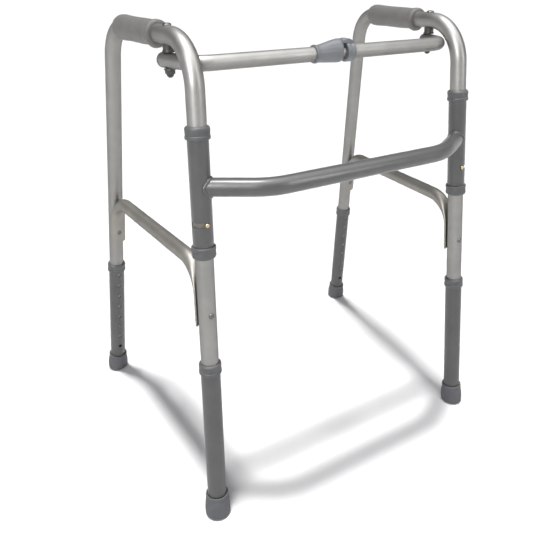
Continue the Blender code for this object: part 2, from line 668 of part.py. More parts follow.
def build_hinge(parent, place, to_x):
    """The right half's end: a ring on the tube, a hump over the pin, and the barrel that takes the pin."""
    bore = BAR_RADIUS - BAR_WALL
    low, high = KNUCKLE_SPAN
    web = low + 1.8 * MM
    ring = [
        (BARREL_RADIUS + GAP, low), (13.9 * MM, low), (14.6 * MM, low + 2 * MM), (14.6 * MM, high - 2 * MM),
        (13.9 * MM, high), (BAR_RADIUS + GAP, high), (BAR_RADIUS + GAP, web), (BARREL_RADIUS + GAP, web),
    ]
    knuckle = add_object("hinge_knuckle", turned(ring, loop=True), PLASTIC, parent, place @ to_x)
    under = 13.2 * MM
    side = [
        (8.5 * MM, under), (8.5 * MM, 16.6 * MM), (11 * MM, 19 * MM), (17 * MM, HUMP_HEIGHT),
        (24 * MM, 19 * MM),
        (high - 1.6 * MM, 13.6 * MM), (high - 1.6 * MM, 11.6 * MM), (low + 0.6 * MM, 11.6 * MM),
        (low + 0.6 * MM, under),
    ]
    arch = bmesh.new()
    skin(arch, [[Vector((x, y, z)) for x, z in side] for y in (-8 * MM, 8 * MM)])
    hump = add_object("join_hinge_knuckle", arch, PLASTIC, parent, place)
    hump.hide_render = True
    hump.display_type = "WIRE"
    join = knuckle.modifiers.new("Join", "BOOLEAN")
    join.operation = "UNION"
    join.object = hump

    stub = [
        (0, 8.3 * MM), (BARREL_RADIUS - 0.8 * MM, 8.3 * MM), (BARREL_RADIUS, 9.2 * MM),
        (BARREL_RADIUS, web + GAP),
        (bore - GAP, web + GAP), (bore - GAP, 27 * MM), (0, 27 * MM),
    ]
    barrel = add_object("hinge_barrel", turned(stub), SILVER, parent, place @ to_x)
    shank = 2.4 * MM
    hole = pegs([(HINGE_X, 0, -20 * MM)], (0, 0, 1), shank + GAP, 40 * MM, 10)
    cut(barrel, hole, parent, place)
    pin = [
        (0, -8.6 * MM), (shank, -8.2 * MM), (shank, 9.6 * MM), (3.6 * MM, 9.6 * MM), (3.6 * MM, 11.8 * MM),
        (3 * MM, 12.8 * MM), (0, 12.9 * MM),
    ]
    add_object("hinge_pin", turned(pin, 12), METAL, parent, place @ Matrix.Translation((HINGE_X, 0, 0)))


def world_under(pivot, side_axis):
    """The matrix that puts a piece, given in world positions, under a pivot's empty."""
    return (side_axis.matrix_basis @ pivot.matrix_basis).inverted()


clear_scene()
SILVER = make_material("silver_tube", (0.62, 0.61, 0.58), 0.32, 1.0)
BRACE_GREY = make_material("brace_grey", (0.13, 0.13, 0.13), 0.35)
LEG_GREY = make_material("leg_grey", (0.16, 0.17, 0.16), 0.45)
PLASTIC = make_material("grey_plastic", (0.22, 0.23, 0.24), 0.5)
RUBBER = make_material("grey_rubber", (0.15, 0.15, 0.17), 0.7)
DARK = make_material("dark_plastic", (0.03, 0.03, 0.03), 0.4)
METAL = make_material("bright_steel", (0.7, 0.7, 0.7), 0.25, 1.0)

side_axes, bar_pivots = {}, {}
for side_sign, side_name in ((-1, "left"), (1, "right")):
    side_axes[side_name], bar_pivots[side_name] = build_side(side_sign, side_name)
build_brace(side_axes)
build_bar(side_axes, bar_pivots)
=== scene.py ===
"""Looks for the folding walking frame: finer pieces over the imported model, materials, light and camera."""

import math

import bmesh
import bpy
from mathutils import Matrix, Vector


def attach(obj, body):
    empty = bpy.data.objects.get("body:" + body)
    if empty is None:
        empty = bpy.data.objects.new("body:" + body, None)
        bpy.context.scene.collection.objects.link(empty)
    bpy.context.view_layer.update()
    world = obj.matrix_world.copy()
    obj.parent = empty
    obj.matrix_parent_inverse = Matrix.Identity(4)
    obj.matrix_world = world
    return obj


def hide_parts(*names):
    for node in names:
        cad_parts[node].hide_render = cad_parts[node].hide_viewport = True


MM = 0.001

# The model's driving lines. They are the CAD's, apart from the slot, which is 0.2 mm narrower each way.
FRONT_FOOT_X = 250.7 * MM
FRONT_FOOT_Y = -218.0 * MM
FRONT_LEAN_IN = 0.0343
FRONT_LEAN_BACK = 0.0772
TOP_HEIGHT = 707.0 * MM
TOP_LENGTH = 280.3 * MM
TOP_TOE_OUT = 0.0776
REAR_LEAN = 0.1472
FRONT_BEND = 66.0 * MM
REAR_BEND = 58.0 * MM
TUBE_RADIUS = 12.7 * MM
TUBE_WALL = 1.3 * MM
TUBE_END = 80.0 * MM
SLEEVE_RADIUS = 14.2 * MM
SLEEVE_BORE = 13.0 * MM
SLEEVE_SPAN = (430.0 * MM, 599.0 * MM)
LOWER_SLEEVE_COLLAR = 425.0 * MM
UPPER_SLEEVE_COLLAR = 587.0 * MM
LEG_COLLAR = 247.5 * MM
COLLAR_HEIGHT = 17 * MM
LEG_COLLAR_RADIUS = 16.4 * MM
SLEEVE_COLLAR_RADIUS = 16.8 * MM
LEG_BOTTOM = 6.0 * MM
LEG_TOP = 259.0 * MM
HOLE_TOP = 242.0 * MM
HOLE_PITCH = 25.4 * MM
HOLE_COUNT = 8
HOLE_RADIUS = 3.4 * MM
BUTTON_HOLE = 5
STUD_RADIUS = 3.0 * MM
STUD_HOLE = 3.3 * MM
# The band of painted shade behind the slot: its hole for the stud and its half height.
SLOT_SHADE_HOLE = 3.15 * MM
SLOT_SHADE_HALF_HEIGHT = 7 * MM
TIP_TOP = 36.7 * MM
LOCK_HEIGHT = 474.0 * MM
SLOT_HALF_HEIGHT = 3.4 * MM
SLOT_START = math.radians(-14)
SLOT_END = math.radians(108)
BRACE_HEIGHT = 408.0 * MM
BRACE_RADIUS = 11.0 * MM
BRACE_WALL = 1.4 * MM
BRACE_BEND = 46.0 * MM
BRACE_END = 320.0 * MM
BRACE_STANDOFF = 16.2 * MM
BAND_THICKNESS = 5.4 * MM
BAND_WIDTH = 30.0 * MM
RIVET_HEIGHT = 341.0 * MM
BOW_HEIGHT = 521.5 * MM
BOW_FORWARD = 226.8 * MM
BOW_HALF_STRAIGHT = 153.0 * MM
BOW_BEND = 90.0 * MM
GRIP_START = 101.0 * MM
BOLT_SETBACK = 71.7 * MM
BAR_HEIGHT = 674.2 * MM
BAR_FORWARD = 143.0 * MM
BAR_RADIUS = 10.5 * MM
BAR_WALL = 1.5 * MM
BAR_HALF_STRAIGHT = 192.5 * MM
BAR_BEND = 30.0 * MM
BAR_TURN = math.radians(70)
BAR_TAIL = 44.0 * MM
HINGE_X = 12.0 * MM
LEFT_BAR_TIP = -36.0 * MM
RIGHT_BAR_TIP = 18.6 * MM
CHEEK_HALF_WIDTH = 4.6 * MM
CHEEK_THICKNESS = 1.6
CHEEK_OVERLAP = 8 * MM
CHEEK_PIN_HOLE = 3.1 * MM
BARREL_PIN_HOLE = 2.7 * MM
BARREL_FLAT = 6.5 * MM

# How finely round shapes are cut, the edge angle in degrees that stays sharp, and the cutters' span.
SIDES = 44
FINE = math.radians(4)
SHARP = 32
CUT_START = 9 * MM
CUT_LENGTH = 8 * MM

CAMERA_PLACE = (-0.4989, -0.8416, 0.7806)
CAMERA_YAW, CAMERA_PITCH, CAMERA_ROLL = 0.5271, 0.3672, -0.0056
CAMERA_LENS, CAMERA_SENSOR = 37.07, 36
CAMERA_SHIFT = -0.15

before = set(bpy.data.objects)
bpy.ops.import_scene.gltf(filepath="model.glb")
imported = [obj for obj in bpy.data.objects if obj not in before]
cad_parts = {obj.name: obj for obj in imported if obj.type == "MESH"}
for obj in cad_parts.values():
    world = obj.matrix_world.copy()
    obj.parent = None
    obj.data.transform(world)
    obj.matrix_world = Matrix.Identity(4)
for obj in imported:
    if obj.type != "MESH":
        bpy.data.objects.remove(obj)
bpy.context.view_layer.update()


# --- materials ---------------------------------------------------------------------------------------


class Nodes:
    """A short way to write a node tree."""

    # The part of a noise texture's output that holds nearly all of its values.
    NOISE_RANGE = (0.3, 0.7)

    def __init__(self, name):
        self.material = bpy.data.materials.new(name)
        self.material.use_nodes = True
        self.tree = self.material.node_tree
        self.shader = self.tree.nodes["Principled BSDF"]
        place = self.tree.nodes.new("ShaderNodeTexCoord")
        self.place = place.outputs["Object"]

    def link(self, source, target):
        self.tree.links.new(source, target)

    def noise(self, scale, detail=3.0, rough=0.55):
        texture = self.tree.nodes.new("ShaderNodeTexNoise")
        texture.inputs["Scale"].default_value = scale
        texture.inputs["Detail"].default_value = detail
        texture.inputs["Roughness"].default_value = rough
        self.link(self.place, texture.inputs["Vector"])
        return texture.outputs["Fac"]

    def spread(self, value, low, high):
        remap = self.tree.nodes.new("ShaderNodeMapRange")
        start, end = self.NOISE_RANGE
        for key, number in (("From Min", start), ("From Max", end), ("To Min", low), ("To Max", high)):
            remap.inputs[key].default_value = number
        self.link(value, remap.inputs["Value"])
        return remap.outputs["Result"]

    def blend(self, value, low, high):
        ramp = self.tree.nodes.new("ShaderNodeValToRGB")
        for stop, position, colour in zip(ramp.color_ramp.elements, self.NOISE_RANGE, (low, high)):
            stop.position = position
            stop.color = (*colour, 1)
        self.link(value, ramp.inputs["Fac"])
        return ramp.outputs["Color"]

    def bump(self, value, distance, strength=1.0, after=None):
        bump = self.tree.nodes.new("ShaderNodeBump")
        bump.inputs["Distance"].default_value = distance
        bump.inputs["Strength"].default_value = strength
        self.link(value, bump.inputs["Height"])
        if after:
            self.link(after, bump.inputs["Normal"])
        return bump.outputs["Normal"]


def anodised(name, low, high, rough=(0.40, 0.50)):
    """Satin anodised tube: a faint mottle, with fine grain from polishing."""
    n = Nodes(name)
    n.shader.inputs["Metallic"].default_value = 0.85
    n.shader.inputs["Specular Tint"].default_value = (0.45, 0.45, 0.45, 1)
    n.link(n.blend(n.noise(26, 4), low, high), n.shader.inputs["Base Color"])
    n.link(n.spread(n.noise(60, 5), *rough), n.shader.inputs["Roughness"])
    soft = n.bump(n.noise(38, 2), 0.00012, 0.35)
    n.link(n.bump(n.noise(2600, 2), 0.00001, 0.5, soft), n.shader.inputs["Normal"])
    return n.material


def powder(name, low, high, rough=(0.3, 0.42), peel=0.00016, coat=0.25):
    """Baked powder coat: orange peel under a thin gloss."""
    n = Nodes(name)
    n.link(n.blend(n.noise(34, 4), low, high), n.shader.inputs["Base Color"])
    n.link(n.spread(n.noise(90, 3), *rough), n.shader.inputs["Roughness"])
    n.shader.inputs["Coat Weight"].default_value = coat
    n.shader.inputs["Coat Roughness"].default_value = 0.22
    wide = n.bump(n.noise(330, 2, 0.45), peel, 0.55)
    n.link(n.bump(n.noise(1100, 2), peel * 0.25, 0.5, wide), n.shader.inputs["Normal"])
    return n.material


def moulded(name, low, high, rough=(0.45, 0.58), grain=0.00004, scale=1500.0):
    """Moulded plastic or vinyl: a fine spark-eroded grain and a slow change of tone."""
    n = Nodes(name)
    n.link(n.blend(n.noise(45, 5), low, high), n.shader.inputs["Base Color"])
    n.link(n.spread(n.noise(120, 3), *rough), n.shader.inputs["Roughness"])
    wide = n.bump(n.noise(150, 2), 0.0001, 0.3)
    n.link(n.bump(n.noise(scale, 3), grain, 0.8, wide), n.shader.inputs["Normal"])
    return n.material


def steel(name, colour, rough):
    """Bare metal with a slight mottle."""
    n = Nodes(name)
    n.shader.inputs["Metallic"].default_value = 1.0
    n.link(n.blend(n.noise(160, 4), [c * 0.8 for c in colour], colour), n.shader.inputs["Base Color"])
    n.link(n.spread(n.noise(300, 3), *rough), n.shader.inputs["Roughness"])
    n.link(n.bump(n.noise(900, 2), 0.00003, 0.4), n.shader.inputs["Normal"])
    return n.material


SILVER = anodised("silver_anodised", (0.270, 0.266, 0.256), (0.312, 0.307, 0.295))
BRACE_SILVER = anodised("side_brace_anodised", (0.278, 0.266, 0.243), (0.318, 0.305, 0.280), (0.44, 0.54))
BRACE_GREY = powder("brace_powder_coat", (0.088, 0.090, 0.088), (0.104, 0.106, 0.104))
LEG_GREY = powder("leg_satin_coat", (0.088, 0.090, 0.086), (0.104, 0.106, 0.101), (0.42, 0.52), 0.00007, 0.05)
COLLAR = moulded("collar_plastic", (0.098, 0.102, 0.103), (0.114, 0.119, 0.120))
GRIP = moulded("grip_vinyl", (0.150, 0.146, 0.138), (0.174, 0.169, 0.160), (0.52, 0.64), 0.00006, 1100.0)
SLIDER = moulded("sleeve_plastic", (0.165, 0.176, 0.190), (0.190, 0.202, 0.217), (0.38, 0.5))
RUBBER = moulded("tip_rubber", (0.100, 0.103, 0.111), (0.120, 0.124, 0.133), (0.62, 0.78), 0.00007, 1300.0)
# Painted shade: a dull brown-grey sheet over the silver tube, where the narrow slot lies in shade.
SLOT_PAINTED_SHADE = moulded("wear_band", (0.17, 0.155, 0.13), (0.205, 0.187, 0.155))
BRASS = steel("brass_stud", (0.62, 0.52, 0.33), (0.2, 0.32))
DARK = moulded("dark_spacer", (0.035, 0.034, 0.032), (0.055, 0.052, 0.048), (0.4, 0.5))
STEEL = steel("zinc_steel", (0.17, 0.17, 0.165), (0.26, 0.38))


# --- making pieces -----------------------------------------------------------------------------------


def add(name, mesh, material, body, replaces=None, angle=SHARP, matrix=None):
    """Adds a finished piece in the model's frame, riding on a body."""
    bmesh.ops.recalc_face_normals(mesh, faces=mesh.faces)
    data = bpy.data.meshes.new(name)
    mesh.to_mesh(data)
    mesh.free()
    if matrix is not None:
        data.transform(matrix)
    data.shade_smooth()
    data.set_sharp_from_angle(angle=math.radians(angle))
    if material:
        data.materials.append(material)
    thing = bpy.data.objects.new(name, data)
    bpy.context.scene.collection.objects.link(thing)
    if body:
        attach(thing, body)
    if replaces:
        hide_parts(replaces)
    return thing


def carve(target, mesh, matrix=None, operation="DIFFERENCE"):
    """Cuts a piece with a throwaway cutter, and keeps only the result."""
    cutter = add(f"cut_{target.name}", mesh, STEEL, None, matrix=matrix)
    modifier = target.modifiers.new("Cut", "BOOLEAN")
    modifier.operation = operation
    modifier.object = cutter
    bpy.context.view_layer.update()
    graph = bpy.context.evaluated_depsgraph_get()
    made = bpy.data.meshes.new_from_object(target.evaluated_get(graph))
    target.modifiers.clear()
    old = target.data
    target.data = made
    made.name = old.name
    bpy.data.meshes.remove(old)
    used = cutter.data
    bpy.data.objects.remove(cutter, do_unlink=True)
    bpy.data.meshes.remove(used)
    made.shade_smooth()
    made.set_sharp_from_angle(angle=math.radians(SHARP))


def soften(thing, width):
    """Rounds a piece's edges a little so that they catch the light."""
    bevel = thing.modifiers.new("Edges", "BEVEL")
    bevel.width = width
    bevel.segments = 2
    bevel.limit_method = "ANGLE"
    bevel.angle_limit = math.radians(30)


def dress(node, material):
    """Gives a CAD node that stays in view its material."""
    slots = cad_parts[node].data.materials
    slots.clear()
    slots.append(material)


def skin(mesh, rings, loop=False):
    """Joins rings of points into a surface: closed at both ends, or back onto its first ring."""
    made = [[mesh.verts.new(point) for point in ring] for ring in rings]
    pairs = list(zip(made, made[1:]))
    if loop:
        pairs.append((made[-1], made[0]))
    for low, high in pairs:
        count = max(len(low), len(high))
        for i in range(count):
            j = (i + 1) % count
            corners = [low[i % len(low)], low[j % len(low)], high[j % len(high)], high[i % len(high)]]
            mesh.faces.new(list(dict.fromkeys(corners)))
    if not loop:
        for end in (made[0], made[-1]):
            if len(end) > 1:
                mesh.faces.new(end)


def circle(radius, sides=SIDES):
    steps = [2 * math.pi * (i + 0.5) / sides for i in range(sides)]
    return [(radius * math.cos(a), radius * math.sin(a)) for a in steps]


def rounded(profile, radius=0.5 * MM, steps=3):
    """Rounds a turned profile's corners with short arcs."""
    points = [Vector(p) for p in profile]
    out = []
    for i, point in enumerate(points):
        if i in (0, len(points) - 1) and points[i].x == 0:
            out.append(point)
            continue
        before, after = points[i - 1], points[(i + 1) % len(points)]
        come, go = point - before, after - point
        reach = min(radius, come.length * 0.42, go.length * 0.42)
        if reach < 0.02 * MM or come.angle(go, 0) < 0.12:
            out.append(point)
            continue
        a, b = point - come.normalized() * reach, point + go.normalized() * reach
        for k in range(steps + 1):
            t = k / steps
            out.append(a.lerp(point, t).lerp(point.lerp(b, t), t))
    return [(p.x, p.y) for p in out]


def turned(profile, sides=SIDES, loop=False, soft=0.5 * MM):
    """A profile of radius and height turned round the z axis, its corners rounded by soft."""
    mesh = bmesh.new()
    rings = []
    for radius, height in rounded(profile, soft) if soft else profile:
        if abs(radius) < 1e-9:
            rings.append([Vector((0, 0, height))])
        else:
            rings.append([Vector((x, y, height)) for x, y in circle(radius, sides)])
    skin(mesh, rings, loop)
    return mesh


class Route:
    """A centre line through corners, with a round bend at each inner corner."""

    def __init__(self, corners, bends):
        corners = [Vector(corner) for corner in corners]
        self.pieces = []
        here = corners[0]
        for before, corner, after, radius in zip(corners, corners[1:], corners[2:], bends):
            come, go = (corner - before).normalized(), (after - corner).normalized()
            turn = come.angle(go)
            reach = radius * math.tan(turn / 2)
            start = corner - come * reach
            self.pieces.append(("line", here, come, (start - here).length))
            self.pieces.append(("arc", start, come, radius * turn, radius, come.cross(go).normalized()))
            here = corner + go * reach
        last = corners[-1] - here
        self.pieces.append(("line", here, last.normalized(), last.length))
        self.marks = [0.0]
        for piece in self.pieces:
            self.marks.append(self.marks[-1] + piece[3])
        self.length = self.marks[-1]

    def at(self, s):
        """The point at distance s, and the direction there."""
        index = 0
        while index < len(self.pieces) - 1 and s > self.marks[index + 1]:
            index += 1
        kind, start, direction, _, *bend = self.pieces[index]
        along = s - self.marks[index]
        if kind == "line":
            return start + direction * along, direction
        radius, axis = bend
        inward = axis.cross(direction)
        angle = along / radius
        point = start + direction * (radius * math.sin(angle)) + inward * (radius * (1 - math.cos(angle)))
        return point, (direction * math.cos(angle) + inward * math.sin(angle)).normalized()

    def stations(self, start, end, step):
        """The distances at which a tube needs a ring: one per step of turn, and the ends of each piece."""
        found = {start, end}
        for piece, low, high in zip(self.pieces, self.marks, self.marks[1:]):
            found |= {s for s in (low, high) if start < s < end}
            if piece[0] == "arc":
                count = max(2, round((high - low) / piece[4] / step))
                steps = (low + (high - low) * i / count for i in range(count))
                found |= {s for s in steps if start < s < end}
        merged = []
        for s in sorted(found):
            if not merged or s - merged[-1] > 0.3 * MM:
                merged.append(s)
        merged[-1] = end
        return merged


def ring_on(route, s, flat, outline):
    """An outline set square to a route at distance s, with its first axis along flat."""
    point, direction = route.at(s)
    across = flat.cross(direction).normalized()
    return [point + flat * a + across * b for a, b in outline]


def tube(route, start, end, flat, outer, inner, sides=SIDES, step=FINE):
    """A bent tube with a real wall and rounded ends."""
    mesh = bmesh.new()
    stations = route.stations(start, end, step)
    lip = min(0.35 * MM, (outer - inner) / 3)
    outside = [ring_on(route, start, flat, circle(outer - lip, sides))]
    for s in stations:
        s = min(max(s, start + lip), end - lip)
        outside.append(ring_on(route, s, flat, circle(outer, sides)))
    outside.append(ring_on(route, end, flat, circle(outer - lip, sides)))
    inside = [ring_on(route, s, flat, circle(inner, sides)) for s in reversed(stations)]
    skin(mesh, outside + inside, loop=True)
    return mesh


def peg(centre, direction, radius, length, sides=20):
    """A plain round cutter."""
    mesh = bmesh.new()
    turn = Vector((0, 0, 1)).rotation_difference(Vector(direction)).to_matrix()
    rings = [
        [Vector(centre) + turn @ Vector((x, y, height)) for x, y in circle(radius, sides)]
        for height in (0, length)
    ]
    skin(mesh, rings)
    return mesh


# --- the frame's lines -------------------------------------------------------------------------------


def side_lines(side):
    """A side's corners: front foot, front corner, rear corner and rear foot."""
    lean = Vector((-side * FRONT_LEAN_IN, FRONT_LEAN_BACK, 1))
    back = Vector((side * TOP_TOE_OUT, 1, 0)).normalized()
    across = lean.cross(back)
    down = Vector(((across.z - across.y * REAR_LEAN) / across.x, REAR_LEAN, -1))
    front_foot = Vector((side * FRONT_FOOT_X, FRONT_FOOT_Y, 0))
    front_corner = front_foot + lean * TOP_HEIGHT
    rear_corner = front_corner + back * TOP_LENGTH
    return front_foot, front_corner, rear_corner, rear_corner + down * TOP_HEIGHT


def leg_matrix(foot, up, back):
    """A leg's own frame: z up the leg from its foot, y towards the rear."""
    z = up.normalized()
    x = back.cross(z).normalized()
    y = z.cross(x)
    return Matrix.Translation(foot) @ Matrix((x, y, z)).transposed().to_4x4()


# --- pieces ------------------------------------------------------------------------------------------


def collar(name, radius, bottom, lip_up, body, matrix):
    """A moulded collar: a tapered skirt, a groove, and a raised band at one end."""
    skirt = SLEEVE_RADIUS + 0.1 * MM
    bore = SLEEVE_BORE - 0.15 * MM
    height = COLLAR_HEIGHT
    profile = [
        (skirt, 0), (radius - 0.7 * MM, 0), (radius, 0.9 * MM), (radius, 4.6 * MM),
        (radius - 0.75 * MM, 5.2 * MM), (radius - 0.55 * MM, 6.0 * MM),
        (radius - 0.15 * MM, height - 3.6 * MM), (radius - 0.45 * MM, height - 1.9 * MM),
        (radius - 2.2 * MM, height), (bore, height), (bore, height - 4 * MM), (skirt, height - 4 * MM),
    ]
    if lip_up:
        place = matrix @ Matrix.Translation((0, 0, bottom + height)) @ Matrix.Rotation(math.pi, 4, "X")
    else:
        place = matrix @ Matrix.Translation((0, 0, bottom))
    mesh = turned(profile, loop=True, soft=0.7 * MM)
    add(f"{name}_moulding", mesh, COLLAR, body, name, matrix=place)


def leg(prefix, matrix, facing):
    """One telescopic leg with its holes, collar, rubber tip and snap button."""
    body = f"{prefix}_leg"
    lip = 0.4 * MM
    profile = [
        (SLEEVE_RADIUS, LEG_BOTTOM), (SLEEVE_RADIUS, LEG_TOP - lip), (SLEEVE_RADIUS - lip, LEG_TOP),
        (SLEEVE_BORE, LEG_TOP), (SLEEVE_BORE, LEG_BOTTOM),
    ]
    mesh = turned(profile, loop=True, soft=0)
    shell = add(f"{prefix}_leg_shell", mesh, LEG_GREY, body, f"{prefix}_leg_tube", matrix=matrix)
    heights = [HOLE_TOP - i * HOLE_PITCH for i in range(HOLE_COUNT)]
    for z in heights:
        carve(shell, peg((0, facing * 10 * MM, z), (0, facing, 0), HOLE_RADIUS, CUT_LENGTH, 24), matrix)
    collar(f"{prefix}_leg_collar", LEG_COLLAR_RADIUS, LEG_COLLAR, False, body, matrix)
    tip(prefix, body, matrix)

    # The snap button: a dome through the sixth hole, on its CAD stud.
    reach, radius = SLEEVE_RADIUS + 1.7 * MM, STUD_RADIUS
    dome = [
        (radius, 0), (radius, reach - 9.6 * MM), (radius * 0.86, reach - 8.7 * MM),
        (radius * 0.5, reach - 8.1 * MM), (0, reach - 7.9 * MM),
    ]
    start = Matrix.Translation((0, facing * 8 * MM, heights[BUTTON_HOLE]))
    place = matrix @ (start @ Matrix.Rotation(-facing * math.pi / 2, 4, "X"))
    mesh = turned(dome, 24, soft=0.3 * MM)
    add(f"{prefix}_button_dome", mesh, STEEL, f"{prefix}_snap_button", matrix=place)
    dress(f"{prefix}_snap_button", STEEL)


def tip(prefix, body, matrix):
    """A rubber tip: a rolled rim, a waist, a bell and a rounded sole with a tread ring."""
    bore = SLEEVE_RADIUS + 0.15 * MM
    sole = 6.0 * MM
    bell = [
        (0, 0), (10.2, 0), (10.6, 0.5), (12.2, 0.5), (12.6, 0), (15.6, 0), (17.4, 0.5), (18.7, 2.2),
        (19.25, 5), (19.4, 9), (19.3, 14), (18.9, 19), (17.9, 26), (17.25, 31.2), (17.15, 32.4),
        (17.55, 33.2), (17.6, 34.6), (17.1, 36.2),
    ]
    profile = [(radius * MM, height * MM) for radius, height in bell]
    profile += [
        (16.2 * MM, TIP_TOP), (15.1 * MM, TIP_TOP - 0.4 * MM), (bore, TIP_TOP - 1.4 * MM), (bore, sole),
        (0, sole),
    ]
    axis_up = matrix.to_3x3() @ Vector((0, 0, 1))
    start = matrix.translation
    mesh = bmesh.new()
    rings = []
    for radius, height in rounded(profile, 0.35 * MM, 2):
        # The sole lies flat on the floor. From 12 mm up, and all over the bore, the tip leans with the leg.
        in_bore = radius <= bore + 0.01 * MM and height > 5 * MM
        share = 1.0 if in_bore else min(1.0, max(0, height) / (12 * MM))
        up = Vector((0, 0, 1)).lerp(axis_up, share).normalized()
        turn = Vector((0, 0, 1)).rotation_difference(up).to_matrix()
        centre = start + axis_up * (height / axis_up.z)
        if radius < 1e-6:
            rings.append([centre])
        else:
            rings.append([centre + turn @ Vector((x, y, 0)) for x, y in circle(radius)])
    skin(mesh, rings)
    add(f"{prefix}_tip_moulding", mesh, RUBBER, body, f"{prefix}_rubber_tip")


def band_outline(share, sides):
    """The side brace's section: round at share 0, and at share 1 a band that wraps the leg."""
    points = []
    for x, y in circle(1.0, sides):
        across = BAND_WIDTH / 2 * x
        out = BAND_THICKNESS / 2 * math.copysign(abs(y) ** 0.6, y)
        bend = across / BRACE_STANDOFF
        reach = BRACE_STANDOFF + out
        band = Vector((reach * math.sin(bend), reach * math.cos(bend) - BRACE_STANDOFF))
        points.append(Vector((BRACE_RADIUS * x, BRACE_RADIUS * y)).lerp(band, share))
    return points


def shrink(outline, wall):
    """An outline moved inwards by the wall's thickness."""
    moved = []
    count = len(outline)
    for i, point in enumerate(outline):
        along = (outline[(i + 1) % count] - outline[i - 1]).normalized()
        moved.append(point + Vector((-along.y, along.x)) * wall)
    return moved


def side_brace(name, body, front, rear):
    """The level tube whose ends turn down and are pressed into bands against the legs."""
    sides = 40
    corners = [
        matrix @ Vector((0, inner * BRACE_STANDOFF, height))
        for matrix, inner, height in (
            (front, 1, BRACE_END), (front, 1, BRACE_HEIGHT), (rear, -1, BRACE_HEIGHT), (rear, -1, BRACE_END))
    ]
    route = Route(corners, [BRACE_BEND, BRACE_BEND])
    flat = front.to_3x3() @ Vector((1, 0, 0))
    first, last = route.marks[1], route.marks[2]
    stations = set(route.stations(0, route.length, FINE))
    for i in range(9):
        stations |= {first * i / 8, route.length - first * i / 8}
    outside, inside = [], []
    for s in sorted(stations):
        from_end = min(s, route.length - s)
        # The section changes over the first 72 hundredths of each bend.
        share = 1 - min(1.0, max(0.0, (from_end - first) / ((last - first) * 0.72)))
        share = share * share * (3 - 2 * share)
        outline = band_outline(share, sides)
        hollow = shrink(outline, BRACE_WALL)
        outside.append(ring_on(route, s, flat, [(x, -y) for x, y in outline]))
        inside.append(ring_on(route, s, flat, [(x, -y) for x, y in hollow]))
    mesh = bmesh.new()
    skin(mesh, outside + inside[::-1], loop=True)
    add(f"{name}_pressing", mesh, BRACE_SILVER, body, name)


def rivet_head(name, body, matrix, y, facing):
    """A domed rivet head with a thin flange."""
    head = [(r * MM, z * MM) for r, z in ((4.3, 0), (4.3, 0.5), (3.9, 1.3), (2.7, 2.1), (1.3, 2.5), (0, 2.6))]
    place = matrix @ Matrix.Translation((0, y, RIVET_HEIGHT)) @ Matrix.Rotation(-facing * math.pi / 2, 4, "X")
    add(name, turned(head, 28, soft=0.4 * MM), STEEL, body, matrix=place)


def grip(name, body, route, start, flat):
    """A vinyl grip: a rolled front lip that drops below, a long barrel with shallow swells, a full heel."""
    # Distance along the grip, radius, and how far it drops below, in millimetres.
    shape = [
        (0.0, 13.8, 0.0), (0.5, 15.6, 0.0), (1.6, 17.3, 0.6), (4.0, 18.3, 1.6), (8.5, 18.4, 2.2),
        (12.0, 18.0, 1.6), (14.0, 17.1, 0.5), (16.5, 17.0, 0.2), (24.0, 17.3, 0.2), (34.0, 17.5, 0.5),
        (48.0, 17.6, 0.9), (60.0, 17.6, 0.6), (74.0, 17.6, 0.9), (88.0, 17.7, 0.5), (100.0, 18.0, 0.6),
        (112.0, 18.5, 0.6), (122.0, 18.8, 0.5), (128.5, 18.5, 0.3), (132.0, 17.4, 0.0), (134.2, 15.6, 0.0),
        (135.0, 13.9, 0.0),
    ]
    sides = 56
    outside = []
    for s, radius, drop in shape:
        ring = []
        for x, y in circle(radius * MM, sides):
            weight = max(0.0, -y / (radius * MM)) ** 2
            scale = 1 + drop * weight / radius
            ring.append((x * (1 + 0.2 * drop * weight / radius), y * scale))
        outside.append(ring_on(route, start + s * MM, flat, ring))
    bore = circle(TUBE_RADIUS + 0.05 * MM, sides)
    inside = [ring_on(route, start + s * MM, flat, bore) for s, _, _ in reversed(shape)]
    mesh = bmesh.new()
    skin(mesh, outside + inside, loop=True)
    add(f"{name}_moulding", mesh, GRIP, body, name, angle=50)


